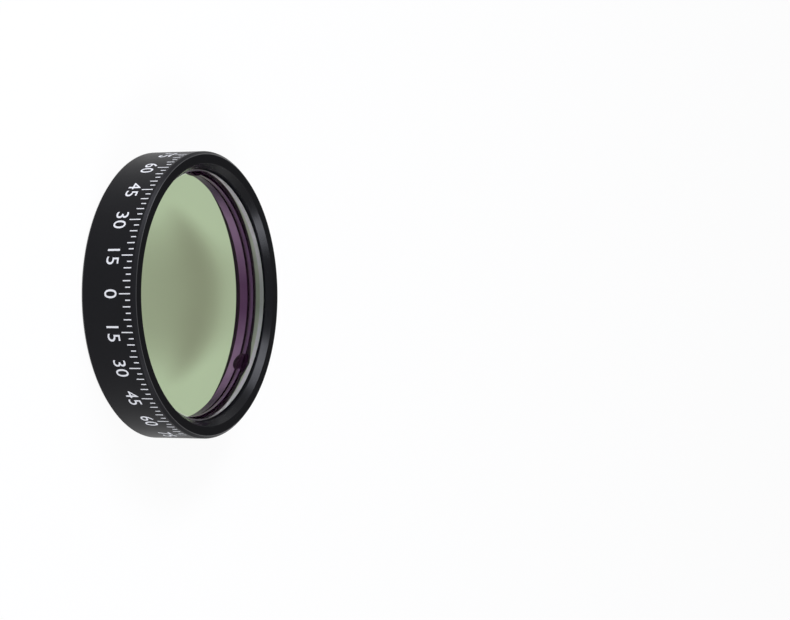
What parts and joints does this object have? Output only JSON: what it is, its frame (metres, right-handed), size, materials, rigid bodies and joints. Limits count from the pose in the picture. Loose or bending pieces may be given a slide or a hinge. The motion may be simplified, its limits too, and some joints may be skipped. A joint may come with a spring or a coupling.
{
  "type": "mounted cylindrical lens",
  "caption": "Round plano-convex cylindrical lens bonded into a plain black ring cell, for focusing light in one direction only.",
  "frame": {"origin": "centre of the cell's rear face, which the part lies on", "axes": "+Z along the optical axis towards the curved face, X along the direction in which the curved face is straight"},
  "size_m": [0.029, 0.029, 0.0062],
  "materials": {
    "anodised_cell": "black anodised, satin",
    "coated_glass": "polished faces with an antireflection coating, fine-ground edge",
    "dark_adhesive": "cured drops, smooth"
  },
  "bodies": {
    "root": {"lens_cell": "anodised_cell", "cylindrical_lens": "coated_glass", "bond_drops": "dark_adhesive"}
  },
  "joints": []
}
